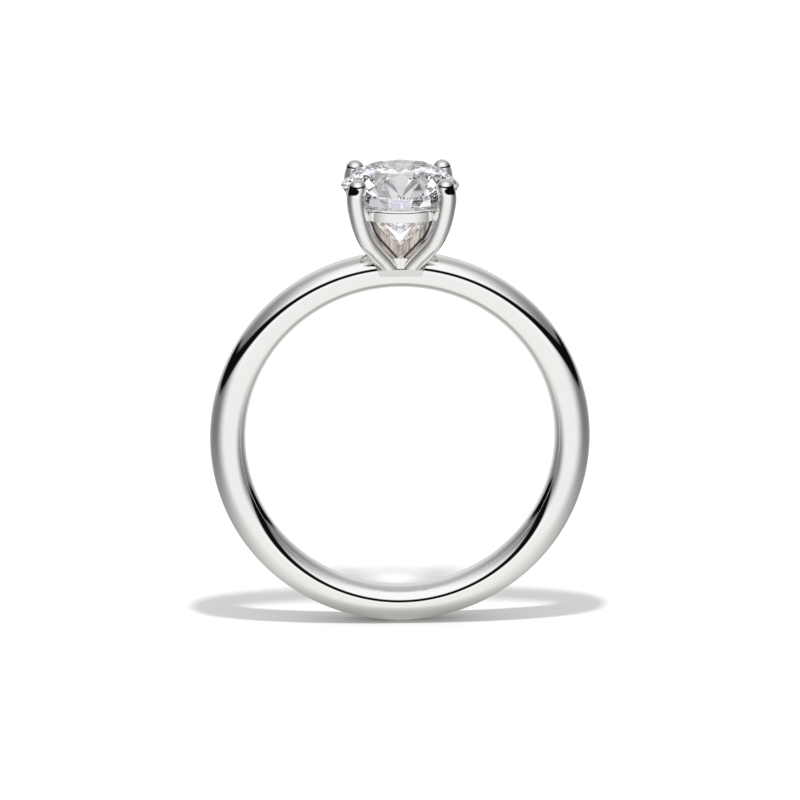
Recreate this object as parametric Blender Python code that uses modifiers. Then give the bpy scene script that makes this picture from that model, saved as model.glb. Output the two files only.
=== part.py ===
"""Solitaire engagement ring: a plain polished shank and a four-claw head that holds one round stone.

Frame: metres, +Z up, origin at the centre of the finger hole. The hole runs along Y and the stone
stands over it on +Z. Each piece is a separate closed solid with a thin solder or seating gap.
"""
import math

import bmesh
import bpy
from mathutils import Matrix, Vector

MM = 0.001
GAP = 0.02 * MM          # solder and seating gap between neighbouring pieces
OVERRUN = 1.0 * MM       # how far a cutter passes beyond the piece it cuts
WELD = 0.001 * MM
CYLINDER_SEGMENTS = 32
SMOOTH_ANGLE = math.radians(35)

# Shank: a court section, rounded inside and out, swept round the finger hole
HOLE_RADIUS = 8.37 * MM
SHANK_THICKNESS = 1.94 * MM
SHANK_WIDTH = 2.16 * MM
SHANK_SECTION_POWER = 2.2
SHANK_STEPS = 80
SHANK_SECTION_POINTS = 20

# Seat for the head: a notch across the top of the shank, with a blind hole for the base's peg
NOTCH_FLOOR_Z = 9.18 * MM
NOTCH_FLOOR_HALF = 1.11 * MM
NOTCH_TOP_Z = 10.6 * MM
NOTCH_TOP_HALF = 1.8 * MM
BASE_TOP_Z = 9.55 * MM
PEG_RADIUS = 0.45 * MM
PEG_DEPTH = 0.42 * MM

# Stone: a round brilliant of 6.36 mm, a little under one carat
STONE_RADIUS = 3.18 * MM
GIRDLE_Z = 13.98 * MM
GIRDLE_HALF = 0.08 * MM
TABLE_RATIO = 0.57
CROWN_ANGLE = math.radians(34.5)
PAVILION_ANGLE = math.radians(40.0)
STAR_LENGTH = 0.50
LOWER_HALF_LENGTH = 0.77
CULET_HEIGHT = 0.03 * MM
GIRDLE_SEGMENTS = 64
BLANK_DEPTH = 2.2        # height of the uncut stone, in girdle radii
FOLDS = 8

# Gallery rail under the girdle, with a bearing cone cut for the pavilion
RAIL_INNER = 2.30 * MM
RAIL_OUTER = 2.84 * MM
RAIL_BOTTOM_Z = 12.53 * MM
RAIL_TOP_Z = 13.29 * MM
RAIL_ROUND = 0.30 * MM   # radius of the rail's outer top edge
RAIL_ROUND_STEPS = 4
RAIL_STEPS = 64

# Claws: round wire on a tulip curve, given as distance from the stone's axis and height
CLAW_PATH = [(0.62 * MM, 9.42 * MM), (1.18 * MM, 10.02 * MM), (1.93 * MM, 10.72 * MM),
             (2.60 * MM, 11.42 * MM), (3.13 * MM, 12.42 * MM), (3.46 * MM, 13.70 * MM),
             (3.33 * MM, 14.36 * MM)]
CLAW_FOOT_RADIUS = 0.53 * MM
CLAW_TIP_RADIUS = 0.49 * MM
CLAW_STEPS = 4           # points in each stretch of the curve
CLAW_DOME_STEPS = 4
CLAW_TIP_FLAT = 0.5      # the dome stops this part of a step short of its pole
CLAW_BEVEL = 5

# Each claw's web, a fin along the wire's inner side from stem to rail, and its share of the stem
WEB_ROOT_HALF = 0.45 * MM   # half the web's thickness at the wire's centre and at its free edge
WEB_EDGE_HALF = 0.27 * MM
WEB_REACH = 0.90 * MM       # from the wire's centre to the web's free edge, at the rail
WEB_FOOT_REACH = 1.27 * MM  # and at the foot, where the four webs meet
WEB_FOOT_SHARE = 0.55       # share of the wire over which the reach settles
STEM_RADIUS = 0.97 * MM
STEM_TOP_Z = 10.15 * MM

CLAWS = [("claw_front_left", 225), ("claw_front_right", 315),
         ("claw_rear_right", 45), ("claw_rear_left", 135)]


def clear_scene():
    for item in list(bpy.data.objects):
        bpy.data.objects.remove(item, do_unlink=True)


def new_collection(name):
    collection = bpy.data.collections.new(name)
    bpy.context.scene.collection.children.link(collection)
    return collection


def new_material(name, color, roughness, metallic, transmission=0.0):
    material = bpy.data.materials.new(name)
    material.use_nodes = True
    shader = material.node_tree.nodes["Principled BSDF"]
    shader.inputs["Base Color"].default_value = (*color, 1.0)
    shader.inputs["Roughness"].default_value = roughness
    shader.inputs["Metallic"].default_value = metallic
    shader.inputs["Transmission Weight"].default_value = transmission
    return material


def link_mesh(name, mesh, collection):
    obj = bpy.data.objects.new(name, mesh)
    collection.objects.link(obj)
    return obj


def mesh_from_bmesh(name, bm):
    bmesh.ops.recalc_face_normals(bm, faces=bm.faces)
    mesh = bpy.data.meshes.new(name)
    bm.to_mesh(mesh)
    bm.free()
    return mesh


def as_cutter(obj):
    obj.hide_render = True
    obj.display_type = "WIRE"
    return obj


def boolean(obj, other, operation):
    modifier = obj.modifiers.new(f"{operation.lower()}_{other.name}", "BOOLEAN")
    modifier.operation = operation
    modifier.object = other
    modifier.solver = "EXACT"


def evaluated_mesh(obj, name):
    """The object's mesh with its modifiers applied and with coincident points welded."""
    depsgraph = bpy.context.evaluated_depsgraph_get()
    mesh = bpy.data.meshes.new_from_object(obj.evaluated_get(depsgraph), depsgraph=depsgraph)
    mesh.name = name
    bm = bmesh.new()
    bm.from_mesh(mesh)
    bmesh.ops.remove_doubles(bm, verts=bm.verts, dist=WELD)
    bm.to_mesh(mesh)
    bm.free()
    return mesh


def shade_round(mesh):
    mesh.shade_smooth()
    mesh.set_sharp_from_angle(angle=SMOOTH_ANGLE)


def turned(name, profile, steps, collection):
    """A closed profile of (radius, height) points, turned about Z with a Screw modifier."""
    mesh = bpy.data.meshes.new(name)
    count = len(profile)
    edges = [(i, (i + 1) % count) for i in range(count)]
    mesh.from_pydata([(radius, 0.0, height) for radius, height in profile], edges, [])
    obj = link_mesh(name, mesh, collection)
    screw = obj.modifiers.new("turn", "SCREW")
    screw.axis = "Z"
    screw.angle = math.tau
    screw.steps = steps
    screw.render_steps = steps
    screw.use_merge_vertices = True
    screw.merge_threshold = WELD
    return obj


def cylinder(name, radius, bottom, top, collection):
    bm = bmesh.new()
    bmesh.ops.create_cone(bm, cap_ends=True, segments=CYLINDER_SEGMENTS, radius1=radius, radius2=radius,
                          depth=top - bottom, matrix=Matrix.Translation((0, 0, (top + bottom) / 2)))
    return link_mesh(name, mesh_from_bmesh(name, bm), collection)


def signed_power(value, power):
    return math.copysign(abs(value) ** power, value)


def shank_blank(name, collection):
    """The whole band before the head's seat is cut: a superellipse section swept round the hole."""
    mean_radius = HOLE_RADIUS + SHANK_THICKNESS / 2
    power = 2.0 / SHANK_SECTION_POWER
    profile = []
    for i in range(SHANK_SECTION_POINTS):
        angle = math.pi / 2 - math.tau * i / SHANK_SECTION_POINTS
        profile.append((mean_radius + SHANK_THICKNESS / 2 * signed_power(math.cos(angle), power),
                        SHANK_WIDTH / 2 * signed_power(math.sin(angle), power)))
    blank = turned(name, profile, SHANK_STEPS, collection)
    blank.rotation_euler = (math.pi / 2, 0.0, 0.0)
    return blank


def seat_wedge(name, collection, inset, top_z):
    """A block across the band with sides that lean outwards, inset from the notch's own faces."""
    lean = (NOTCH_TOP_HALF - NOTCH_FLOOR_HALF) / (NOTCH_TOP_Z - NOTCH_FLOOR_Z)
    floor_z = NOTCH_FLOOR_Z + inset
    bm = bmesh.new()
    bmesh.ops.create_cube(bm, size=1.0)
    for vert in bm.verts:
        height = top_z if vert.co.z > 0 else floor_z
        half = NOTCH_FLOOR_HALF - inset + lean * (height - NOTCH_FLOOR_Z)
        vert.co = (math.copysign(half, vert.co.x),
                   math.copysign(SHANK_WIDTH / 2 + OVERRUN, vert.co.y), height)
    return link_mesh(name, mesh_from_bmesh(name, bm), collection)


def make_shank(parts, cutters, metal):
    shank = shank_blank("shank", parts)
    boolean(shank, as_cutter(seat_wedge("notch_cutter", cutters, 0.0, NOTCH_TOP_Z)), "DIFFERENCE")
    hole = cylinder("peg_hole_cutter", PEG_RADIUS + GAP, NOTCH_FLOOR_Z - PEG_DEPTH - GAP,
                    NOTCH_FLOOR_Z + OVERRUN, cutters)
    boolean(shank, as_cutter(hole), "DIFFERENCE")
    mesh = evaluated_mesh(shank, "shank")
    bpy.data.objects.remove(shank)
    shank = link_mesh("shank", mesh, parts)
    shank.rotation_euler = (math.pi / 2, 0.0, 0.0)
    shade_round(mesh)
    mesh.materials.append(metal)


def make_head_base(parts, cutters, metal):
    """The saddle that fills the notch's floor, flush with the band, with a peg under it."""
    base = seat_wedge("head_base", parts, GAP, BASE_TOP_Z)
    boolean(base, as_cutter(shank_blank("band_envelope", cutters)), "INTERSECT")
    peg = cylinder("peg_blank", PEG_RADIUS, NOTCH_FLOOR_Z - PEG_DEPTH, NOTCH_FLOOR_Z + 2 * GAP, cutters)
    boolean(base, as_cutter(peg), "UNION")
    base.data.materials.append(metal)


def cut_facet(bm, point, normal):
    """Grinds one flat facet: everything beyond the plane is removed and the cut is closed."""
    geometry = list(bm.verts) + list(bm.edges) + list(bm.faces)
    result = bmesh.ops.bisect_plane(bm, geom=geometry, plane_co=point, plane_no=normal,
                                    clear_outer=True)
    edges = [item for item in result["geom_cut"] if isinstance(item, bmesh.types.BMEdge)]
    if edges:
        bmesh.ops.edgeloop_fill(bm, edges=edges)


def around(radius, turn, height):
    """A point at a radius and height, at an angle given in turns of one main facet."""
    angle = math.tau / FOLDS * turn
    return Vector((radius * math.cos(angle), radius * math.sin(angle), height))


def cut_through(bm, a, b, c):
    """A facet through three points, facing away from the stone's axis."""
    normal = (b - a).cross(c - a).normalized()
    if normal.dot(Vector((a.x, a.y, 0.0))) < 0:
        normal = -normal
    cut_facet(bm, a, normal)


def brilliant_mesh(name, growth):
    """A round brilliant centred on its girdle, in millimetres until it is scaled at the end."""
    radius = (STONE_RADIUS + growth) / MM
    girdle = (GIRDLE_HALF + growth) / MM
    half_turn = math.pi / FOLDS
    crown, pavilion = math.tan(CROWN_ANGLE), math.tan(PAVILION_ANGLE)
    table_radius = TABLE_RATIO * radius
    table_z = girdle + (radius - table_radius) * crown
    table_flat = table_radius * math.cos(half_turn)
    star_radius = table_flat + STAR_LENGTH * (radius - table_flat)
    star_z = girdle + (radius - star_radius * math.cos(half_turn)) * crown
    lower_radius = (1.0 - LOWER_HALF_LENGTH) * radius
    lower_z = -girdle - (radius - lower_radius * math.cos(half_turn)) * pavilion
    culet_z = -girdle - radius * pavilion + CULET_HEIGHT / MM

    bm = bmesh.new()
    bmesh.ops.create_cone(bm, cap_ends=True, segments=GIRDLE_SEGMENTS, radius1=radius,
                          radius2=radius, depth=BLANK_DEPTH * radius)
    cut_facet(bm, Vector((0, 0, table_z)), Vector((0, 0, 1)))
    cut_facet(bm, Vector((0, 0, culet_z)), Vector((0, 0, -1)))
    for i in range(FOLDS):
        outward = around(1.0, i, 0.0)
        cut_facet(bm, around(radius, i, girdle),
                  outward * math.sin(CROWN_ANGLE) + Vector((0, 0, math.cos(CROWN_ANGLE))))
        cut_facet(bm, around(radius, i, -girdle),
                  outward * math.sin(PAVILION_ANGLE) - Vector((0, 0, math.cos(PAVILION_ANGLE))))
        cut_through(bm, around(star_radius, i + 0.5, star_z), around(table_radius, i, table_z),
                    around(table_radius, i + 1, table_z))
        for main in (i, i + 1):
            cut_through(bm, around(radius, main, girdle), around(radius, i + 0.5, girdle),
                        around(star_radius, i + 0.5, star_z))
            cut_through(bm, around(radius, main, -girdle), around(radius, i + 0.5, -girdle),
                        around(lower_radius, i + 0.5, lower_z))
    bmesh.ops.remove_doubles(bm, verts=bm.verts, dist=2 * WELD / MM)
    bmesh.ops.scale(bm, vec=(MM, MM, MM), verts=bm.verts)
    return mesh_from_bmesh(name, bm)


def make_stone(parts, glass):
    mesh = brilliant_mesh("diamond", 0.0)
    mesh.materials.append(glass)
    link_mesh("diamond", mesh, parts).location = (0.0, 0.0, GIRDLE_Z)


def bearing_radius(height, clearance):
    """The pavilion's radius at a height, plus a clearance."""
    drop = GIRDLE_Z - GIRDLE_HALF - height
    return STONE_RADIUS - drop / math.tan(PAVILION_ANGLE) + clearance


def make_rail(parts, metal):
    bearing_gap = 2 * GAP
    bearing_foot_z = (GIRDLE_Z - GIRDLE_HALF
                      - (STONE_RADIUS + bearing_gap - RAIL_INNER) * math.tan(PAVILION_ANGLE))
    profile = [(bearing_radius(RAIL_TOP_Z, bearing_gap), RAIL_TOP_Z)]
    for i in range(RAIL_ROUND_STEPS + 1):
        angle = math.pi / 2 * i / RAIL_ROUND_STEPS
        profile.append((RAIL_OUTER - RAIL_ROUND * (1 - math.sin(angle)),
                        RAIL_TOP_Z - RAIL_ROUND * (1 - math.cos(angle))))
    profile += [(RAIL_OUTER, RAIL_BOTTOM_Z), (RAIL_INNER, RAIL_BOTTOM_Z), (RAIL_INNER, bearing_foot_z)]
    rail = turned("gallery_rail", profile, RAIL_STEPS, parts)
    mesh = evaluated_mesh(rail, "gallery_rail")
    bpy.data.objects.remove(rail)
    shade_round(mesh)
    mesh.materials.append(metal)
    link_mesh("gallery_rail", mesh, parts)


def smooth_path(points, steps):
    """Points on a Catmull-Rom curve that passes through every given point."""
    first = points[0] * 2 - points[1]
    last = points[-1] * 2 - points[-2]
    padded = [first] + points + [last]
    path = []
    for a, b, c, d in zip(padded, padded[1:], padded[2:], padded[3:]):
        for i in range(steps):
            t = i / steps
            path.append((b * 2 + (c - a) * t + (a * 2 - b * 5 + c * 4 - d) * t ** 2
                         + (b * 3 - a - c * 3 + d) * t ** 3) / 2)
    return path + [points[-1]]


def claw_wire(name, collection):
    """The claw's wire in the XZ plane, thicker at the foot, with a round dome for its tip."""
    path = smooth_path([Vector((radius, 0.0, height)) for radius, height in CLAW_PATH], CLAW_STEPS)
    last = len(path) - 1
    sizes = [CLAW_FOOT_RADIUS + (CLAW_TIP_RADIUS - CLAW_FOOT_RADIUS) * i / last for i in range(last + 1)]
    direction = (path[-1] - path[-2]).normalized()
    for i in range(1, CLAW_DOME_STEPS + 1):
        angle = math.pi / 2 * i / (CLAW_DOME_STEPS + CLAW_TIP_FLAT)
        path.append(path[last] + direction * CLAW_TIP_RADIUS * math.sin(angle))
        sizes.append(CLAW_TIP_RADIUS * math.cos(angle))
    curve = bpy.data.curves.new(name, "CURVE")
    curve.dimensions = "3D"
    curve.bevel_depth = CLAW_TIP_RADIUS
    curve.bevel_resolution = CLAW_BEVEL
    curve.use_fill_caps = True
    spline = curve.splines.new("POLY")
    spline.points.add(len(path) - 1)
    for point, place, size in zip(spline.points, path, sizes):
        point.co = (*place, 1.0)
        point.radius = size / CLAW_TIP_RADIUS
    obj = bpy.data.objects.new(name, curve)
    collection.objects.link(obj)
    mesh = evaluated_mesh(obj, name)
    bpy.data.objects.remove(obj)
    return link_mesh(name, mesh, collection)


def claw_web(name, collection):
    """The web inside a claw: it follows the wire up to the rail and thins towards its free edge."""
    path = smooth_path([Vector((radius, 0.0, height)) for radius, height in CLAW_PATH], CLAW_STEPS)
    last = len(path) - 1
    bm = bmesh.new()
    rings = []
    for i, (behind, point, ahead) in enumerate(zip([path[0]] + path, path, path[1:])):
        if point.z > RAIL_TOP_Z:
            break
        along = (ahead - behind).normalized()
        foot = max(0.0, 1.0 - i / (last * WEB_FOOT_SHARE))
        reach = WEB_REACH + (WEB_FOOT_REACH - WEB_REACH) * foot
        edge = point + Vector((-along.z, 0.0, along.x)) * reach
        root_side, edge_side = Vector((0, WEB_ROOT_HALF, 0)), Vector((0, WEB_EDGE_HALF, 0))
        ring = (point - root_side, point + root_side, edge + edge_side, edge - edge_side)
        rings.append([bm.verts.new(corner) for corner in ring])
    for near, far in zip(rings, rings[1:]):
        for k in range(len(near)):
            j = (k + 1) % len(near)
            bm.faces.new((near[k], near[j], far[j], far[k]))
    bm.faces.new(rings[0])
    bm.faces.new(rings[-1])
    return link_mesh(name, mesh_from_bmesh(name, bm), collection)


def quarter_block(name, collection):
    """The quarter of space that one claw may fill: it stands on the base, at the stone's axis."""
    size = STONE_RADIUS + 2 * OVERRUN
    height = GIRDLE_Z + 2 * OVERRUN - BASE_TOP_Z - GAP
    bm = bmesh.new()
    bmesh.ops.create_cube(bm, size=1.0)
    bmesh.ops.scale(bm, vec=(size, size, height), verts=bm.verts)
    bmesh.ops.translate(bm, verts=bm.verts,
                        vec=(size / 2 + GAP / 2, size / 2 + GAP / 2, height / 2 + BASE_TOP_Z + GAP))
    bmesh.ops.rotate(bm, verts=bm.verts, cent=(0, 0, 0), matrix=Matrix.Rotation(-math.pi / 4, 3, "Z"))
    return link_mesh(name, mesh_from_bmesh(name, bm), collection)


def rail_cutter(name, collection):
    profile = [(RAIL_OUTER + GAP, RAIL_TOP_Z + GAP), (RAIL_OUTER + GAP, RAIL_BOTTOM_Z - GAP),
               (RAIL_INNER - OVERRUN, RAIL_BOTTOM_Z - GAP), (RAIL_INNER - OVERRUN, RAIL_TOP_Z + GAP)]
    return turned(name, profile, RAIL_STEPS, collection)


def claw_mesh(cutters):
    """One claw at azimuth 0: wire, web and stem joined, then cut for its quarter, rail and stone."""
    claw = claw_wire("claw_blank", cutters)
    boolean(claw, as_cutter(claw_web("web_blank", cutters)), "UNION")
    stem = cylinder("stem_blank", STEM_RADIUS, BASE_TOP_Z, STEM_TOP_Z, cutters)
    boolean(claw, as_cutter(stem), "UNION")
    boolean(claw, as_cutter(quarter_block("quarter_block", cutters)), "INTERSECT")
    boolean(claw, as_cutter(rail_cutter("rail_cutter", cutters)), "DIFFERENCE")
    seat = link_mesh("seat_cutter", brilliant_mesh("seat_cutter", GAP), cutters)
    seat.location = (0.0, 0.0, GIRDLE_Z)
    boolean(claw, as_cutter(seat), "DIFFERENCE")
    as_cutter(claw)
    mesh = evaluated_mesh(claw, "claw")
    shade_round(mesh)
    return mesh


def make_claws(parts, cutters, metal):
    mesh = claw_mesh(cutters)
    mesh.materials.append(metal)
    for name, azimuth in CLAWS:
        claw = link_mesh(name, mesh, parts)
        claw.rotation_euler = (0.0, 0.0, math.radians(azimuth))


def main():
    clear_scene()
    parts = new_collection("engagement_ring")
    cutters = new_collection("cutters")
    metal = new_material("polished_platinum", (0.86, 0.85, 0.83), 0.06, 1.0)
    glass = new_material("diamond", (1.0, 1.0, 1.0), 0.0, 0.0, 1.0)
    make_shank(parts, cutters, metal)
    make_head_base(parts, cutters, metal)
    make_claws(parts, cutters, metal)
    make_rail(parts, metal)
    make_stone(parts, glass)


main()
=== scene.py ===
"""The looks of the solitaire ring: polished shank, claw head and brilliant on a white studio floor."""
import math

import bmesh
import bpy
from mathutils import Matrix, Vector


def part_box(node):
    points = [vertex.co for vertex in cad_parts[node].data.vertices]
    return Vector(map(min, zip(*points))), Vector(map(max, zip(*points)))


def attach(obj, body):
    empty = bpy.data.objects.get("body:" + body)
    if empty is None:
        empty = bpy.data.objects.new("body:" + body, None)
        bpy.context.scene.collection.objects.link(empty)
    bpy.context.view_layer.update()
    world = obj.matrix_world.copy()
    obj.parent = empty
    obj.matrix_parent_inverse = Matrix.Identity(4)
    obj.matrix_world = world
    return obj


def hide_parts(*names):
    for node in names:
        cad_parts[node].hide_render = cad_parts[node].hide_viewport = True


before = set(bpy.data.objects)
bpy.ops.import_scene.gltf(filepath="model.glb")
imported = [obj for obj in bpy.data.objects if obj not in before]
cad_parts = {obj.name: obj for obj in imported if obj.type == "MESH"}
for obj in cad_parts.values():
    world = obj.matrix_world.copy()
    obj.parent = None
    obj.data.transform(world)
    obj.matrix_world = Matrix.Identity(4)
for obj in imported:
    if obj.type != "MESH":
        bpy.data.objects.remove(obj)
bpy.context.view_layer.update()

MM = 0.001

# Finish: ends of the fine noise in the roughness, and the colour
PLATINUM = (0.95, 0.945, 0.935, 1.0)
POLISH_ROUGHNESS = (0.02, 0.05)
BASE_COLOR = (0.78, 0.765, 0.75, 1.0)
BASE_ROUGHNESS = (0.12, 0.22)
STONE_ROUGHNESS = (0.0, 0.001)
STONE_IOR = 2.417
HAZE_SCALE = 900.0           # noise scales are in cycles per metre
HAZE_DETAIL = 4.0
HAIRLINE_SCALE = (3000.0, 24000.0, 3000.0)
HAIRLINE_DETAIL = 2.0
HAIRLINE_STRENGTH = 0.006
HAIRLINE_DEPTH = 0.01 * MM
STONE_NOISE_SCALE = 2500.0

# Sizes read from the frame
SHANK_LOW, SHANK_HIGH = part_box("shank")
RAIL_LOW, RAIL_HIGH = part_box("gallery_rail")
STONE_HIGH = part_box("diamond")[1]
BASE_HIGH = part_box("head_base")[1]

OUTER_RADIUS = SHANK_HIGH.x
BAND_HALF_WIDTH = SHANK_HIGH.y
BAND_THICKNESS = 1.94 * MM
MEAN_RADIUS = OUTER_RADIUS - BAND_THICKNESS / 2
FLOOR_Z = SHANK_LOW.z
SECTION_POWER = 2.2
BAND_STEPS = 360
BAND_SECTION_POINTS = 72
TURN_STEPS = 256
CYLINDER_SEGMENTS = 96
# Edges sharper than these, in degrees, stay sharp
BAND_SHARP = 30
RAIL_SHARP = 50
CLAW_SHARP = 35

# Seat of the head in the shank
NOTCH_FLOOR_Z = 9.18 * MM
NOTCH_FLOOR_HALF = 1.11 * MM
NOTCH_TOP_Z = 10.6 * MM
NOTCH_TOP_HALF = 1.8 * MM

# Stone: proportions of a round brilliant
STONE_RADIUS = STONE_HIGH.x
TABLE_Z = STONE_HIGH.z
GIRDLE_HALF = 0.08 * MM
TABLE_RATIO = 0.57
CROWN_ANGLE = math.radians(34.5)
PAVILION_ANGLE = math.radians(40.0)
STAR_LENGTH = 0.50
LOWER_HALF_LENGTH = 0.77
CULET_HEIGHT = 0.03 * MM
GIRDLE_SEGMENTS = 128
BLANK_DEPTH = 2.2            # height of the uncut stone, in girdle radii
FACET_WELD = 0.002           # in millimetres, as the stone is while it is cut
FOLDS = 8
GIRDLE_Z = TABLE_Z - GIRDLE_HALF - (1 - TABLE_RATIO) * STONE_RADIUS * math.tan(CROWN_ANGLE)

# Gallery rail, with a cone inside for the stone to rest in
RAIL_INNER = 2.30 * MM
RAIL_ROUND = 0.30 * MM       # radius of its outer top edge
RAIL_ROUND_STEPS = 12
RAIL_BEVEL = 0.045 * MM      # on its other edges
RAIL_BEVEL_SEGMENTS = 4
RAIL_BEVEL_ANGLE = math.radians(15)
BEARING_GAP = 0.03 * MM

# Claws: distance from the stone's axis and height of the wire's centre, foot to tip
CLAW_PATH = [(0.62 * MM, 9.42 * MM), (1.18 * MM, 10.02 * MM), (1.93 * MM, 10.72 * MM),
             (2.60 * MM, 11.42 * MM), (3.13 * MM, 12.42 * MM), (3.46 * MM, 13.70 * MM),
             (3.33 * MM, 14.36 * MM)]
CLAW_FOOT_RADIUS = 0.53 * MM
CLAW_TIP_RADIUS = 0.49 * MM
CLAW_STEPS = 14
CLAW_DOME_STEPS = 14
CLAW_SECTION_POINTS = 64
CLAW_INNER_POINTS = 17
CLAW_TIP_FLAT = 0.3          # the dome stops this part of a step short of its pole
CLAW_SEAT_GAP = 0.01 * MM
CLAW_CHANNEL_INNER = 1.5 * MM
QUARTER_SIZE = 1.5           # side of the block that keeps a claw in its quarter, in stone radii
WEB_REACH = 0.90 * MM        # from the wire's centre to the web's free edge, at the rail
WEB_FOOT_REACH = 1.27 * MM   # and at the foot, where the four webs meet
WEB_FOOT_SHARE = 0.55        # share of the wire over which the reach settles
WEB_ROOT_HALF = 0.38 * MM    # half the web's thickness at the wire and at its free edge
WEB_EDGE_HALF = 0.27 * MM
WEB_FILLET = 0.05 * MM
STEM_RADIUS = 0.97 * MM
STEM_TOP_Z = 10.15 * MM
SEAM = 0.004 * MM            # gap between neighbouring pieces
CLAWS = [("claw_front_left", 225), ("claw_front_right", 315),
         ("claw_rear_right", 45), ("claw_rear_left", 135)]

# Camera: a long lens slightly above and left of the front
CAMERA_AZIMUTH = math.radians(-2.0)
CAMERA_ELEVATION = math.radians(14.74)
CAMERA_DISTANCE = 433 * MM
CAMERA_TARGET = Vector((0, 0, 2.025 * MM))
CAMERA_LENS = 359.7
CAMERA_SENSOR = 36.0
CAMERA_CLIP = (0.01, 10.0)

# Studio: a white tent, brighter in front than behind, with a pale backdrop. Angles are in degrees, turned
# from the front or raised from the horizon. A pair is where a soft edge starts and where it ends.
TENT_FRONT = 1.0
TENT_BACK = 0.5
TENT_TURN = (30.0, 130.0)
FLOOR_SHARE = 0.9
FLOOR_EDGE = (5.0, -5.0)
FLOOR_TINT = (1.0, 0.985, 0.945, 1.0)
FLOOR_TINT_EDGE = (-12.0, -60.0)
BACKDROP = 0.75
BACKDROP_TURN = (120.0, 170.0)
BACKDROP_HEIGHT = (60.0, 20.0)
# A soft dark flag stands on each side of the ring
FLAG_LEVEL = 0.20
FLAG_TURN = 95.0
FLAG_HEIGHT = 8.0
FLAG_ACROSS = (72.0, 10.0)
FLAG_UP = (60.0, 14.0)
# A dark slot runs between the tent's front and its roof, and sinks a little towards the sides
SLOT_LEVEL = 0.004
SLOT_FRONT_HEIGHT = 17.5
SLOT_SIDE_HEIGHT = 9.0
SLOT_SINK_TURN = (50.0, 110.0)
SLOT_HALF = 8.5              # half its height, which runs out behind
SLOT_END = (145.0, 120.0)
SLOT_SOFTNESS = 2.5
# Rays that leave the stone see the studio brightened and tinted in patches, in place of its dispersion
FLECK_SCALE = 3.0
FLECK_EDGE = (0.4, 0.6)
FLECK_A = (1.00, 0.97, 1.18, 1.0)
FLECK_B = (1.85, 1.92, 1.98, 1.0)
FILL_LEVEL = 0.87            # even light on the paper and on other dull surfaces
# Paper floor, lifted to white away from the ring, with a painted contact shadow under it where the metal
# mirrors it
PAPER = 0.80
PAPER_LIFT = 0.4
PAPER_LIFT_REACH = (14 * MM, 60 * MM)
FLOOR_SIZE = 4.0
CONTACT_LENGTH = 6.0 * MM
CONTACT_DEPTH = 3.3 * MM
CONTACT_EDGE = (1.5, 0.3)    # in those two sizes
CONTACT_SHADOW_DARKNESS = 0.50
# Key lamp: above and a little in front
KEY_SIZE = 9 * MM
KEY_HEIGHT = 113 * MM
KEY_FORWARD = 25 * MM
KEY_POWER = 0.075

# Satin faces of the webs, dark and warm as painted shade of the head's hollow, and a painted shade line in
# the crease by the wire
WEB_DARK = (0.36, 0.32, 0.29, 1.0)
WEB_LIGHT = (0.90, 0.84, 0.79, 1.0)
CREASE_SHADE_COLOR = (0.03, 0.025, 0.022, 1.0)
WEB_ROUGHNESS = 0.35
WEB_METALLIC = 0.2
STREAK_SCALE = (5000.0, 5000.0, 1200.0)
STREAK_DETAIL = 3.0
STREAK_EDGE = (0.35, 0.65)
# Soft edges of the web and of its painted crease shade, by depth from the wire in millimetres, and of the
# stem's top
WEB_EDGE = (0.01, 0.03)
CREASE_SHADE_EDGE = (0.15, 0.08)
STEM_EDGE = (STEM_TOP_Z - 0.04 * MM, STEM_TOP_Z + 0.02 * MM)

LIGHT_BOUNCES = 32
MIRROR_BOUNCES = 12


# ---------------------------------------------------------------- materials

def math_node(tree, operation, *values):
    node = tree.nodes.new("ShaderNodeMath")
    node.operation = operation
    for socket, value in zip(node.inputs, values):
        feed(tree, value, socket)
    return node.outputs[0]


def smooth_range(tree, value, low, high):
    """0 at low and 1 at high, with a smooth step between; low may be above high."""
    node = tree.nodes.new("ShaderNodeMapRange")
    node.interpolation_type = "SMOOTHSTEP"
    for name, item in (("Value", value), ("From Min", low), ("From Max", high)):
        feed(tree, item, node.inputs[name])
    return node.outputs["Result"]


def mix_values(tree, factor, a, b):
    node = tree.nodes.new("ShaderNodeMix")
    node.data_type = "FLOAT"
    for socket, item in zip((node.inputs[0], node.inputs[2], node.inputs[3]), (factor, a, b)):
        feed(tree, item, socket)
    return node.outputs[0]


def mix_color(tree, factor, a, b):
    node = tree.nodes.new("ShaderNodeMix")
    node.data_type = "RGBA"
    for socket, item in zip((node.inputs[0], node.inputs[6], node.inputs[7]), (factor, a, b)):
        feed(tree, item, socket)
    return node.outputs[2]


def feed(tree, item, socket):
    """Links a socket, or sets a plain value on it."""
    if isinstance(item, bpy.types.NodeSocket):
        tree.links.new(item, socket)
    else:
        socket.default_value = item


def node_material(name):
    material = bpy.data.materials.new(name)
    material.use_nodes = True
    return material, material.node_tree.nodes, material.node_tree.links


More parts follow.
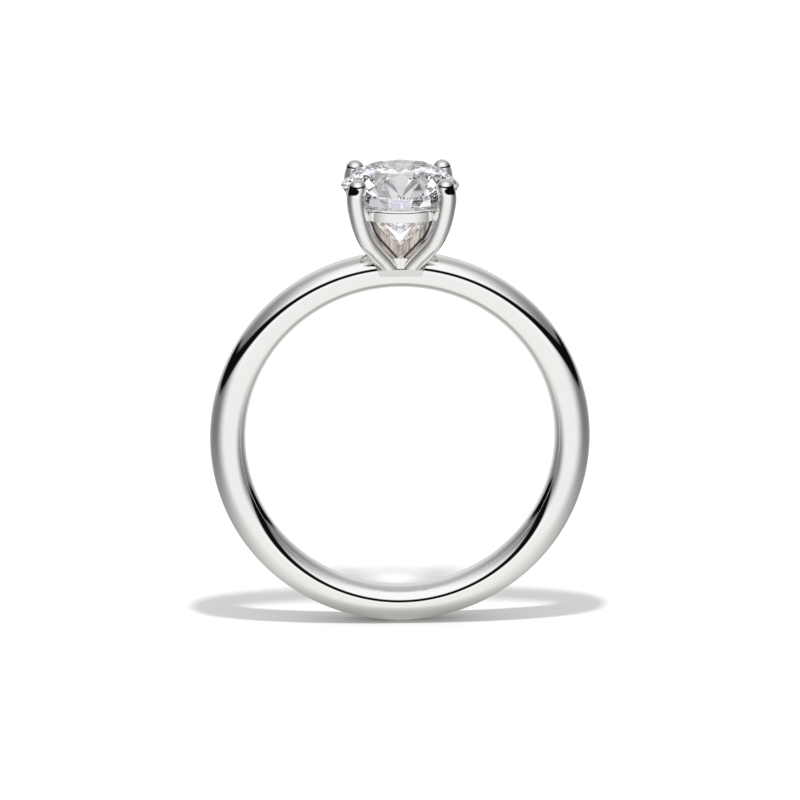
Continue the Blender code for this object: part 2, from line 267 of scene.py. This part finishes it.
def polished_metal(name, color=PLATINUM, roughness=POLISH_ROUGHNESS):
    """Mirror-polished platinum: faint polishing haze and hairlines, both from object-space noise."""
    material, nodes, links = node_material(name)
    shader = nodes["Principled BSDF"]
    shader.inputs["Metallic"].default_value = 1.0
    shader.inputs["Base Color"].default_value = color
    place = nodes.new("ShaderNodeTexCoord")
    haze = nodes.new("ShaderNodeTexNoise")
    haze.inputs["Scale"].default_value = HAZE_SCALE
    haze.inputs["Detail"].default_value = HAZE_DETAIL
    links.new(place.outputs["Object"], haze.inputs["Vector"])
    spread = nodes.new("ShaderNodeMapRange")
    spread.inputs["To Min"].default_value, spread.inputs["To Max"].default_value = roughness
    links.new(haze.outputs["Fac"], spread.inputs["Value"])
    links.new(spread.outputs["Result"], shader.inputs["Roughness"])
    stretch = nodes.new("ShaderNodeMapping")
    stretch.inputs["Scale"].default_value = HAIRLINE_SCALE
    links.new(place.outputs["Object"], stretch.inputs["Vector"])
    lines = nodes.new("ShaderNodeTexNoise")
    lines.inputs["Scale"].default_value = 1.0
    lines.inputs["Detail"].default_value = HAIRLINE_DETAIL
    links.new(stretch.outputs["Vector"], lines.inputs["Vector"])
    bump = nodes.new("ShaderNodeBump")
    bump.inputs["Strength"].default_value = HAIRLINE_STRENGTH
    bump.inputs["Distance"].default_value = HAIRLINE_DEPTH
    links.new(lines.outputs["Fac"], bump.inputs["Height"])
    links.new(bump.outputs["Normal"], shader.inputs["Normal"])
    return material


def claw_metal(name):
    """The same polished metal, but satin on the webs, which a polishing wheel cannot reach, and darker and
    warmer there as painted shade of the head's hollow, with a painted shade line where each web leaves its
    wire."""
    material = polished_metal(name)
    nodes, links = material.node_tree.nodes, material.node_tree.links
    shader = nodes["Principled BSDF"]
    tree = material.node_tree
    depth = nodes.new("ShaderNodeAttribute")
    depth.attribute_name = "web_depth"
    place = nodes.new("ShaderNodeTexCoord")
    stretch = nodes.new("ShaderNodeMapping")
    stretch.inputs["Scale"].default_value = STREAK_SCALE
    links.new(place.outputs["Object"], stretch.inputs["Vector"])
    streaks = nodes.new("ShaderNodeTexNoise")
    streaks.inputs["Scale"].default_value = 1.0
    streaks.inputs["Detail"].default_value = STREAK_DETAIL
    links.new(stretch.outputs["Vector"], streaks.inputs["Vector"])
    # Satin streaks from dark to light; the dark warm colour also stands in as painted shade inside the head
    satin_and_shade = mix_color(tree, smooth_range(tree, streaks.outputs["Fac"], *STREAK_EDGE), WEB_DARK, WEB_LIGHT)
    # Painted shade: a near-black line along the crease where the web leaves the wire
    painted_crease_shade = smooth_range(tree, depth.outputs["Fac"], *CREASE_SHADE_EDGE)
    satin_and_shade = mix_color(tree, painted_crease_shade, satin_and_shade, CREASE_SHADE_COLOR)
    height = nodes.new("ShaderNodeSeparateXYZ")
    links.new(place.outputs["Object"], height.inputs[0])
    above_stem = smooth_range(tree, height.outputs["Z"], *STEM_EDGE)
    on_web = math_node(tree, "MULTIPLY", smooth_range(tree, depth.outputs["Fac"], *WEB_EDGE), above_stem)
    polish = shader.inputs["Base Color"].default_value[:]
    links.new(mix_color(tree, on_web, polish, satin_and_shade), shader.inputs["Base Color"])
    gloss = shader.inputs["Roughness"].links[0].from_socket
    links.new(mix_values(tree, on_web, gloss, WEB_ROUGHNESS), shader.inputs["Roughness"])
    links.new(mix_values(tree, on_web, 1.0, WEB_METALLIC), shader.inputs["Metallic"])
    return material


def brilliant_glass(name):
    material, nodes, links = node_material(name)
    shader = nodes["Principled BSDF"]
    shader.inputs["Base Color"].default_value = (1.0, 1.0, 1.0, 1.0)
    shader.inputs["IOR"].default_value = STONE_IOR
    shader.inputs["Transmission Weight"].default_value = 1.0
    place = nodes.new("ShaderNodeTexCoord")
    noise = nodes.new("ShaderNodeTexNoise")
    noise.inputs["Scale"].default_value = STONE_NOISE_SCALE
    links.new(place.outputs["Object"], noise.inputs["Vector"])
    spread = nodes.new("ShaderNodeMapRange")
    spread.inputs["To Min"].default_value, spread.inputs["To Max"].default_value = STONE_ROUGHNESS
    links.new(noise.outputs["Fac"], spread.inputs["Value"])
    links.new(spread.outputs["Result"], shader.inputs["Roughness"])
    return material


# ---------------------------------------------------------------- mesh helpers

def link_mesh(name, mesh):
    obj = bpy.data.objects.new(name, mesh)
    bpy.context.scene.collection.objects.link(obj)
    return obj


def mesh_from_bmesh(name, bm):
    bmesh.ops.recalc_face_normals(bm, faces=bm.faces)
    mesh = bpy.data.meshes.new(name)
    bm.to_mesh(mesh)
    bm.free()
    return mesh


def cut(obj, tools):
    """Applies Booleans to obj, each (operation, tool), then removes the tools."""
    for operation, tool in tools:
        modifier = obj.modifiers.new(tool.name, "BOOLEAN")
        modifier.operation = operation
        modifier.object = tool
        modifier.solver = "EXACT"
    depsgraph = bpy.context.evaluated_depsgraph_get()
    mesh = bpy.data.meshes.new_from_object(obj.evaluated_get(depsgraph), depsgraph=depsgraph)
    obj.modifiers.clear()
    obj.data = mesh
    for operation, tool in tools:
        bpy.data.objects.remove(tool)
    return obj


def apply_modifiers(obj):
    depsgraph = bpy.context.evaluated_depsgraph_get()
    mesh = bpy.data.meshes.new_from_object(obj.evaluated_get(depsgraph), depsgraph=depsgraph)
    obj.modifiers.clear()
    obj.data = mesh


def shade_round(obj, angle):
    obj.data.shade_smooth()
    obj.data.set_sharp_from_angle(angle=math.radians(angle))


def loft(name, rings):
    """A closed skin through rings of points, with a flat cap on each end."""
    bm = bmesh.new()
    loops = [[bm.verts.new(point) for point in ring] for ring in rings]
    for near, far in zip(loops, loops[1:]):
        for i in range(len(near)):
            j = (i + 1) % len(near)
            bm.faces.new((near[i], near[j], far[j], far[i]))
    bm.faces.new(loops[0])
    bm.faces.new(loops[-1])
    return mesh_from_bmesh(name, bm)


def turned_mesh(name, profile, steps):
    """A closed profile of (radius, height) points turned about Z."""
    bm = bmesh.new()
    rings = []
    for step in range(steps):
        angle = math.tau * step / steps
        rings.append([bm.verts.new((radius * math.cos(angle), radius * math.sin(angle), height))
                      for radius, height in profile])
    for step in range(steps):
        near, far = rings[step], rings[(step + 1) % steps]
        for i in range(len(profile)):
            j = (i + 1) % len(profile)
            bm.faces.new((near[i], near[j], far[j], far[i]))
    return mesh_from_bmesh(name, bm)


def cylinder_mesh(name, radius, bottom, top):
    bm = bmesh.new()
    bmesh.ops.create_cone(bm, cap_ends=True, segments=CYLINDER_SEGMENTS, radius1=radius, radius2=radius,
                          depth=top - bottom, matrix=Matrix.Translation((0, 0, (top + bottom) / 2)))
    return mesh_from_bmesh(name, bm)


def signed_power(value, power):
    return math.copysign(abs(value) ** power, value)


# ---------------------------------------------------------------- shank and base

def band_mesh(name):
    power = 2.0 / SECTION_POWER
    profile = []
    for i in range(BAND_SECTION_POINTS):
        angle = math.tau * i / BAND_SECTION_POINTS
        profile.append((MEAN_RADIUS + BAND_THICKNESS / 2 * signed_power(math.cos(angle), power),
                        BAND_HALF_WIDTH * signed_power(math.sin(angle), power)))
    mesh = turned_mesh(name, profile, BAND_STEPS)
    mesh.transform(Matrix.Rotation(math.pi / 2, 4, "X"))
    return mesh


def wedge_mesh(name, inset, top_z):
    lean = (NOTCH_TOP_HALF - NOTCH_FLOOR_HALF) / (NOTCH_TOP_Z - NOTCH_FLOOR_Z)
    bm = bmesh.new()
    bmesh.ops.create_cube(bm, size=1.0)
    for vert in bm.verts:
        height = top_z if vert.co.z > 0 else NOTCH_FLOOR_Z + inset
        half = NOTCH_FLOOR_HALF - inset + lean * (height - NOTCH_FLOOR_Z)
        vert.co = (math.copysign(half, vert.co.x), math.copysign(2 * BAND_HALF_WIDTH, vert.co.y), height)
    return mesh_from_bmesh(name, bm)


def make_shank(metal):
    shank = link_mesh("polished_shank", band_mesh("polished_shank"))
    cut(shank, [("DIFFERENCE", link_mesh("notch", wedge_mesh("notch", 0.0, NOTCH_TOP_Z)))])
    shade_round(shank, BAND_SHARP)
    shank.data.materials.clear()
    shank.data.materials.append(metal)
    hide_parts("shank")
    return shank


def make_base(metal):
    base = link_mesh("polished_base", wedge_mesh("polished_base", SEAM, BASE_HIGH.z))
    cut(base, [("INTERSECT", link_mesh("envelope", band_mesh("envelope")))])
    shade_round(base, BAND_SHARP)
    base.data.materials.clear()
    base.data.materials.append(metal)
    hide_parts("head_base")
    return base


# ---------------------------------------------------------------- stone

def cut_facet(bm, point, normal):
    geometry = list(bm.verts) + list(bm.edges) + list(bm.faces)
    result = bmesh.ops.bisect_plane(bm, geom=geometry, plane_co=point, plane_no=normal, clear_outer=True)
    edges = [item for item in result["geom_cut"] if isinstance(item, bmesh.types.BMEdge)]
    if edges:
        bmesh.ops.edgeloop_fill(bm, edges=edges)


def around(radius, turn, height):
    angle = math.tau / FOLDS * turn
    return Vector((radius * math.cos(angle), radius * math.sin(angle), height))


def cut_through(bm, a, b, c):
    normal = (b - a).cross(c - a).normalized()
    if normal.dot(Vector((a.x, a.y, 0.0))) < 0:
        normal = -normal
    cut_facet(bm, a, normal)


def brilliant_mesh(name, growth):
    """A round brilliant on its girdle's centre, cut facet by facet in millimetres and then scaled."""
    radius = (STONE_RADIUS + growth) / MM
    girdle = (GIRDLE_HALF + growth) / MM
    half_turn = math.pi / FOLDS
    crown, pavilion = math.tan(CROWN_ANGLE), math.tan(PAVILION_ANGLE)
    table_radius = TABLE_RATIO * radius
    table_z = girdle + (radius - table_radius) * crown
    table_flat = table_radius * math.cos(half_turn)
    star_radius = table_flat + STAR_LENGTH * (radius - table_flat)
    star_z = girdle + (radius - star_radius * math.cos(half_turn)) * crown
    lower_radius = (1.0 - LOWER_HALF_LENGTH) * radius
    lower_z = -girdle - (radius - lower_radius * math.cos(half_turn)) * pavilion
    culet_z = -girdle - radius * pavilion + CULET_HEIGHT / MM
    bm = bmesh.new()
    bmesh.ops.create_cone(bm, cap_ends=True, segments=GIRDLE_SEGMENTS, radius1=radius,
                          radius2=radius, depth=BLANK_DEPTH * radius)
    cut_facet(bm, Vector((0, 0, table_z)), Vector((0, 0, 1)))
    cut_facet(bm, Vector((0, 0, culet_z)), Vector((0, 0, -1)))
    for i in range(FOLDS):
        outward = around(1.0, i, 0.0)
        cut_facet(bm, around(radius, i, girdle),
                  outward * math.sin(CROWN_ANGLE) + Vector((0, 0, math.cos(CROWN_ANGLE))))
        cut_facet(bm, around(radius, i, -girdle),
                  outward * math.sin(PAVILION_ANGLE) - Vector((0, 0, math.cos(PAVILION_ANGLE))))
        cut_through(bm, around(star_radius, i + 0.5, star_z), around(table_radius, i, table_z),
                    around(table_radius, i + 1, table_z))
        for main in (i, i + 1):
            cut_through(bm, around(radius, main, girdle), around(radius, i + 0.5, girdle),
                        around(star_radius, i + 0.5, star_z))
            cut_through(bm, around(radius, main, -girdle), around(radius, i + 0.5, -girdle),
                        around(lower_radius, i + 0.5, lower_z))
    bmesh.ops.remove_doubles(bm, verts=bm.verts, dist=FACET_WELD)
    bmesh.ops.scale(bm, vec=(MM, MM, MM), verts=bm.verts)
    return mesh_from_bmesh(name, bm)


def make_stone(glass):
    stone = link_mesh("brilliant", brilliant_mesh("brilliant", 0.0))
    stone.data.transform(Matrix.Translation((0, 0, GIRDLE_Z)))
    stone.data.materials.append(glass)
    stone.visible_shadow = False    # clear glass would throw a solid shadow
    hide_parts("diamond")
    return stone


# ---------------------------------------------------------------- gallery rail

def bearing_radius(height):
    """The radius at a height of the cone that the stone rests in."""
    drop = GIRDLE_Z - GIRDLE_HALF - height
    return STONE_RADIUS - drop / math.tan(PAVILION_ANGLE) + BEARING_GAP


def make_rail(metal):
    outer, top = RAIL_HIGH.x, RAIL_HIGH.z
    foot_drop = (STONE_RADIUS + BEARING_GAP - RAIL_INNER) * math.tan(PAVILION_ANGLE)
    foot_z = GIRDLE_Z - GIRDLE_HALF - foot_drop
    profile = [(bearing_radius(top), top)]
    for i in range(RAIL_ROUND_STEPS + 1):
        angle = math.pi / 2 * i / RAIL_ROUND_STEPS
        profile.append((outer - RAIL_ROUND * (1 - math.sin(angle)), top - RAIL_ROUND * (1 - math.cos(angle))))
    profile += [(outer, RAIL_LOW.z), (RAIL_INNER, RAIL_LOW.z), (RAIL_INNER, foot_z)]
    rail = link_mesh("polished_rail", turned_mesh("polished_rail", profile, TURN_STEPS))
    bevel = rail.modifiers.new("round", "BEVEL")
    bevel.width = RAIL_BEVEL
    bevel.segments = RAIL_BEVEL_SEGMENTS
    bevel.limit_method = "ANGLE"
    bevel.angle_limit = RAIL_BEVEL_ANGLE
    apply_modifiers(rail)
    shade_round(rail, RAIL_SHARP)
    rail.data.materials.append(metal)
    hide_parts("gallery_rail")
    return rail


# ---------------------------------------------------------------- claws

def smooth_path(points, steps):
    """Points on a Catmull-Rom curve that passes through every given point."""
    padded = [points[0] * 2 - points[1]] + points + [points[-1] * 2 - points[-2]]
    path = []
    for a, b, c, d in zip(padded, padded[1:], padded[2:], padded[3:]):
        for i in range(steps):
            t = i / steps
            path.append((b * 2 + (c - a) * t + (a * 2 - b * 5 + c * 4 - d) * t ** 2
                         + (b * 3 - a - c * 3 + d) * t ** 3) / 2)
    return path + [points[-1]]


def claw_section(radius, web_reach):
    """Points (inward, sideways) round a claw's section: a circle, with a web on its inner side."""
    root = math.asin(WEB_ROOT_HALF / CLAW_FOOT_RADIUS)
    half = []
    if web_reach > 0:
        side = web_reach - WEB_FILLET
        start = math.sqrt(radius ** 2 - WEB_ROOT_HALF ** 2)
        corner = (CLAW_INNER_POINTS - 1) // 4
        for i in range(1, corner + 1):
            t = i / corner
            half.append((start + (side - start) * t, WEB_ROOT_HALF + (WEB_EDGE_HALF - WEB_ROOT_HALF) * t))
        for i in range(1, corner + 1):
            angle = math.pi / 2 * i / corner
            half.append((side + WEB_FILLET * math.sin(angle),
                         WEB_EDGE_HALF - WEB_FILLET * (1 - math.cos(angle))))
        root = math.asin(WEB_ROOT_HALF / radius)
    else:
        steps = CLAW_INNER_POINTS // 2
        for i in range(1, steps + 1):
            angle = root * (1 - i / (steps + 0.5))
            half.append((radius * math.cos(angle), radius * math.sin(angle)))
    inner = half + [(depth, -offset) for depth, offset in reversed(half)]
    outer = []
    for k in range(CLAW_SECTION_POINTS + 1):
        angle = root + (math.tau - 2 * root) * k / CLAW_SECTION_POINTS
        outer.append((radius * math.cos(angle), radius * math.sin(angle)))
    return outer[::-1] + inner


def claw_mesh(name):
    """One claw at azimuth 0: round wire with a web on its inner side that ends at the rail."""
    path = smooth_path([Vector((radius, 0.0, height)) for radius, height in CLAW_PATH], CLAW_STEPS)
    last = len(path) - 1
    rings = []
    for i, centre in enumerate(path):
        ahead, behind = path[min(i + 1, last)], path[max(i - 1, 0)]
        along = (ahead - behind).normalized()
        inward = Vector((-along.z, 0.0, along.x))
        radius = CLAW_FOOT_RADIUS + (CLAW_TIP_RADIUS - CLAW_FOOT_RADIUS) * i / last
        foot = max(0.0, 1.0 - i / (last * WEB_FOOT_SHARE))
        reach = WEB_REACH + (WEB_FOOT_REACH - WEB_REACH) * foot
        section = claw_section(radius, reach if centre.z < (RAIL_LOW.z + RAIL_HIGH.z) / 2 else 0.0)
        rings.append([centre + inward * depth + Vector((0, offset, 0)) for depth, offset in section])
    along = (path[-1] - path[-2]).normalized()
    for i in range(1, CLAW_DOME_STEPS + 1):
        angle = math.pi / 2 * i / (CLAW_DOME_STEPS + CLAW_TIP_FLAT)
        section = claw_section(radius * math.cos(angle), 0.0)
        top = centre + along * radius * math.sin(angle)
        rings.append([top + inward * depth + Vector((0, offset, 0)) for depth, offset in section])
    claw = link_mesh(name, loft(name, rings))
    size = STONE_RADIUS * QUARTER_SIZE
    bm = bmesh.new()
    bmesh.ops.create_cube(bm, size=1.0)
    bmesh.ops.scale(bm, vec=(size, size, size * 2), verts=bm.verts)
    bmesh.ops.translate(bm, verts=bm.verts, vec=(size / 2 + SEAM / 2, size / 2 + SEAM / 2,
                                                 size + BASE_HIGH.z + SEAM))
    bmesh.ops.rotate(bm, verts=bm.verts, cent=(0, 0, 0), matrix=Matrix.Rotation(-math.pi / 4, 3, "Z"))
    quarter = link_mesh("quarter", mesh_from_bmesh("quarter", bm))
    stem = link_mesh("stem", cylinder_mesh("stem", STEM_RADIUS, BASE_HIGH.z, STEM_TOP_Z))
    seat = link_mesh("seat", brilliant_mesh("seat", CLAW_SEAT_GAP))
    seat.data.transform(Matrix.Translation((0, 0, GIRDLE_Z)))
    low, high = RAIL_LOW.z - SEAM, RAIL_HIGH.z + SEAM
    outer = RAIL_HIGH.x + SEAM
    profile = [(outer, high), (outer, low), (CLAW_CHANNEL_INNER, low), (CLAW_CHANNEL_INNER, high)]
    channel = link_mesh("channel", turned_mesh("channel", profile, TURN_STEPS))
    cut(claw, [("UNION", stem), ("INTERSECT", quarter), ("DIFFERENCE", channel), ("DIFFERENCE", seat)])
    shade_round(claw, CLAW_SHARP)
    mesh = claw.data
    bpy.data.objects.remove(claw)
    depth = mesh.attributes.new("web_depth", "FLOAT", "POINT")
    for vert, value in zip(mesh.vertices, depth.data):
        nearest = min((vert.co - centre).length for centre in path)
        value.value = (nearest - CLAW_FOOT_RADIUS) / MM
    return mesh


def make_claws(metal):
    pattern = claw_mesh("polished_claw")
    pattern.materials.clear()
    pattern.materials.append(metal)
    claws = []
    for node, azimuth in CLAWS:
        mesh = pattern.copy()
        mesh.transform(Matrix.Rotation(math.radians(azimuth), 4, "Z"))
        claw = link_mesh("polished_" + node, mesh)
        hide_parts(node)
        claws.append(claw)
    return claws


# ---------------------------------------------------------------- studio

def distance_from(tree, value, middle):
    return math_node(tree, "ABSOLUTE", math_node(tree, "SUBTRACT", value, middle))


def studio_light_group():
    """What the ring sees of the studio in a direction. -Y is the front."""
    tree = bpy.data.node_groups.new("studio_light", "ShaderNodeTree")
    tree.interface.new_socket("Direction", in_out="INPUT", socket_type="NodeSocketVector")
    tree.interface.new_socket("Color", in_out="OUTPUT", socket_type="NodeSocketColor")
    entry, leave = tree.nodes.new("NodeGroupInput"), tree.nodes.new("NodeGroupOutput")
    unit = tree.nodes.new("ShaderNodeVectorMath")
    unit.operation = "NORMALIZE"
    tree.links.new(entry.outputs["Direction"], unit.inputs[0])
    axes = tree.nodes.new("ShaderNodeSeparateXYZ")
    tree.links.new(unit.outputs[0], axes.inputs[0])
    x, y, z = axes.outputs
    turn = math_node(tree, "ARCTAN2", math_node(tree, "ABSOLUTE", x), math_node(tree, "MULTIPLY", y, -1.0))
    turn = math_node(tree, "DEGREES", turn)
    height = math_node(tree, "DEGREES", math_node(tree, "ARCSINE", z))

    light = mix_values(tree, smooth_range(tree, turn, *TENT_TURN), TENT_FRONT, TENT_BACK)
    share = mix_values(tree, smooth_range(tree, height, *FLOOR_EDGE), 1.0, FLOOR_SHARE)
    light = math_node(tree, "MULTIPLY", light, share)
    behind = math_node(tree, "MULTIPLY", smooth_range(tree, turn, *BACKDROP_TURN),
                       smooth_range(tree, distance_from(tree, height, 0.0), *BACKDROP_HEIGHT))
    light = mix_values(tree, behind, light, BACKDROP)
    across = smooth_range(tree, distance_from(tree, turn, FLAG_TURN), *FLAG_ACROSS)
    up = smooth_range(tree, distance_from(tree, height, FLAG_HEIGHT), *FLAG_UP)
    light = mix_values(tree, math_node(tree, "MULTIPLY", across, up), light, FLAG_LEVEL)
    sink = smooth_range(tree, turn, *SLOT_SINK_TURN)
    centre = mix_values(tree, sink, SLOT_FRONT_HEIGHT, SLOT_SIDE_HEIGHT)
    half = math_node(tree, "MULTIPLY", smooth_range(tree, turn, *SLOT_END), SLOT_HALF)
    beyond = math_node(tree, "SUBTRACT", distance_from(tree, height, centre), half)
    slot = smooth_range(tree, beyond, SLOT_SOFTNESS, -SLOT_SOFTNESS)
    light = mix_values(tree, slot, light, SLOT_LEVEL)
    tint = mix_color(tree, smooth_range(tree, height, *FLOOR_TINT_EDGE), (1.0, 1.0, 1.0, 1.0), FLOOR_TINT)
    shade = tree.nodes.new("ShaderNodeVectorMath")
    shade.operation = "SCALE"
    tree.links.new(tint, shade.inputs[0])
    tree.links.new(light, shade.inputs["Scale"])
    tree.links.new(shade.outputs[0], leave.inputs["Color"])
    return tree


def light_group_node(tree, group, vector):
    node = tree.nodes.new("ShaderNodeGroup")
    node.node_tree = group
    tree.links.new(vector, node.inputs["Direction"])
    return node.outputs["Color"]


def make_world(group):
    """White to the camera, an even fill for the floor, and the studio for reflections."""
    world = bpy.data.worlds.new("studio")
    bpy.context.scene.world = world
    world.use_nodes = True
    world.cycles.sampling_method = "NONE"
    tree = world.node_tree
    tree.nodes.clear()
    place = tree.nodes.new("ShaderNodeTexCoord")
    path = tree.nodes.new("ShaderNodeLightPath")
    color = light_group_node(tree, group, place.outputs["Generated"])
    flecks = tree.nodes.new("ShaderNodeTexNoise")
    flecks.inputs["Scale"].default_value = FLECK_SCALE
    tree.links.new(place.outputs["Generated"], flecks.inputs["Vector"])
    fleck = mix_color(tree, smooth_range(tree, flecks.outputs["Fac"], *FLECK_EDGE), FLECK_A, FLECK_B)
    sparkle = tree.nodes.new("ShaderNodeVectorMath")
    sparkle.operation = "MULTIPLY"
    tree.links.new(color, sparkle.inputs[0])
    tree.links.new(fleck, sparkle.inputs[1])
    color = mix_color(tree, path.outputs["Is Transmission Ray"], color, sparkle.outputs[0])
    for output, level in (("Is Diffuse Ray", FILL_LEVEL), ("Is Camera Ray", 1.0)):
        color = mix_color(tree, path.outputs[output], color, (level, level, level, 1.0))
    background = tree.nodes.new("ShaderNodeBackground")
    tree.links.new(color, background.inputs["Color"])
    out = tree.nodes.new("ShaderNodeOutputWorld")
    tree.links.new(background.outputs[0], out.inputs["Surface"])


def make_floor(group):
    """White paper, clear from below. Reflections see it as part of the studio, with a painted shadow by the
    ring.
    """
    bm = bmesh.new()
    bmesh.ops.create_grid(bm, x_segments=1, y_segments=1, size=FLOOR_SIZE)
    floor = link_mesh("studio_floor", mesh_from_bmesh("studio_floor", bm))
    floor.location = (0, 0, FLOOR_Z)
    material = bpy.data.materials.new("studio_paper")
    material.use_nodes = True
    tree = material.node_tree
    tree.nodes.clear()
    place = tree.nodes.new("ShaderNodeNewGeometry")
    axes = tree.nodes.new("ShaderNodeSeparateXYZ")
    tree.links.new(place.outputs["Position"], axes.inputs[0])
    spread = math_node(tree, "SQRT", math_node(tree, "ADD",
                       math_node(tree, "POWER", axes.outputs["X"], 2.0),
                       math_node(tree, "POWER", axes.outputs["Y"], 2.0)))
    paper = tree.nodes.new("ShaderNodeBsdfDiffuse")
    paper.inputs["Color"].default_value = (PAPER, PAPER, PAPER, 1.0)
    lift = tree.nodes.new("ShaderNodeEmission")
    away = smooth_range(tree, spread, *PAPER_LIFT_REACH)
    tree.links.new(math_node(tree, "MULTIPLY", away, PAPER_LIFT), lift.inputs["Strength"])
    seen = tree.nodes.new("ShaderNodeAddShader")
    tree.links.new(paper.outputs[0], seen.inputs[0])
    tree.links.new(lift.outputs[0], seen.inputs[1])

    # Painted contact shadow: the floor that the metal mirrors is darker in an oval under the ring
    across = math_node(tree, "POWER", math_node(tree, "DIVIDE", axes.outputs["X"], CONTACT_LENGTH), 2.0)
    deep = math_node(tree, "POWER", math_node(tree, "DIVIDE", axes.outputs["Y"], CONTACT_DEPTH), 2.0)
    reach = math_node(tree, "SQRT", math_node(tree, "ADD", across, deep))
    contact_shadow = smooth_range(tree, reach, *CONTACT_EDGE)
    clear = math_node(tree, "SUBTRACT", 1.0, math_node(tree, "MULTIPLY", contact_shadow, CONTACT_SHADOW_DARKNESS))
    mirrored = tree.nodes.new("ShaderNodeEmission")
    tree.links.new(light_group_node(tree, group, place.outputs["Position"]), mirrored.inputs["Color"])
    tree.links.new(clear, mirrored.inputs["Strength"])

    path = tree.nodes.new("ShaderNodeLightPath")
    both = tree.nodes.new("ShaderNodeMixShader")
    tree.links.new(path.outputs["Is Camera Ray"], both.inputs[0])
    tree.links.new(mirrored.outputs[0], both.inputs[1])
    tree.links.new(seen.outputs[0], both.inputs[2])
    one_sided = tree.nodes.new("ShaderNodeMixShader")
    tree.links.new(place.outputs["Backfacing"], one_sided.inputs[0])
    tree.links.new(both.outputs[0], one_sided.inputs[1])
    tree.links.new(tree.nodes.new("ShaderNodeBsdfTransparent").outputs[0], one_sided.inputs[2])
    out = tree.nodes.new("ShaderNodeOutputMaterial")
    tree.links.new(one_sided.outputs[0], out.inputs["Surface"])
    floor.data.materials.append(material)


def make_key_light():
    """A small round lamp above and in front, which casts the ring's shadow on the paper."""
    data = bpy.data.lights.new("key", "AREA")
    data.shape = "DISK"
    data.size = KEY_SIZE
    data.energy = KEY_POWER
    key = bpy.data.objects.new("key", data)
    bpy.context.scene.collection.objects.link(key)
    key.location = (0.0, -KEY_FORWARD, FLOOR_Z + KEY_HEIGHT)
    aim = Vector((0, 0, FLOOR_Z)) - key.location
    key.rotation_euler = aim.to_track_quat("-Z", "Y").to_euler()
    key.visible_glossy = False
    key.visible_transmission = False
    key.visible_camera = False


def make_camera():
    data = bpy.data.cameras.new("camera")
    data.lens = CAMERA_LENS
    data.sensor_width = CAMERA_SENSOR
    data.clip_start, data.clip_end = CAMERA_CLIP
    camera = bpy.data.objects.new("camera", data)
    bpy.context.scene.collection.objects.link(camera)
    back = Vector((math.sin(CAMERA_AZIMUTH) * math.cos(CAMERA_ELEVATION),
                   -math.cos(CAMERA_AZIMUTH) * math.cos(CAMERA_ELEVATION), math.sin(CAMERA_ELEVATION)))
    camera.location = CAMERA_TARGET + back * CAMERA_DISTANCE
    camera.rotation_euler = (-back).to_track_quat("-Z", "Y").to_euler()
    bpy.context.scene.camera = camera


def main():
    metal = polished_metal("polished_platinum")
    glass = brilliant_glass("clear_brilliant")
    shank = make_shank(metal)
    base = make_base(polished_metal("soldered_platinum", BASE_COLOR, BASE_ROUGHNESS))
    metal_pieces = [shank, base, make_rail(metal)]
    metal_pieces += make_claws(claw_metal("claw_platinum"))
    stone = make_stone(glass)
    for piece in metal_pieces:
        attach(piece, "root")
    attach(stone, "root")
    group = studio_light_group()
    make_floor(group)
    make_world(group)
    make_key_light()
    make_camera()
    cycles = bpy.context.scene.cycles
    cycles.max_bounces = LIGHT_BOUNCES
    cycles.transmission_bounces = LIGHT_BOUNCES
    cycles.glossy_bounces = MIRROR_BOUNCES
    bpy.context.scene.view_settings.view_transform = "Standard"
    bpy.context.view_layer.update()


main()
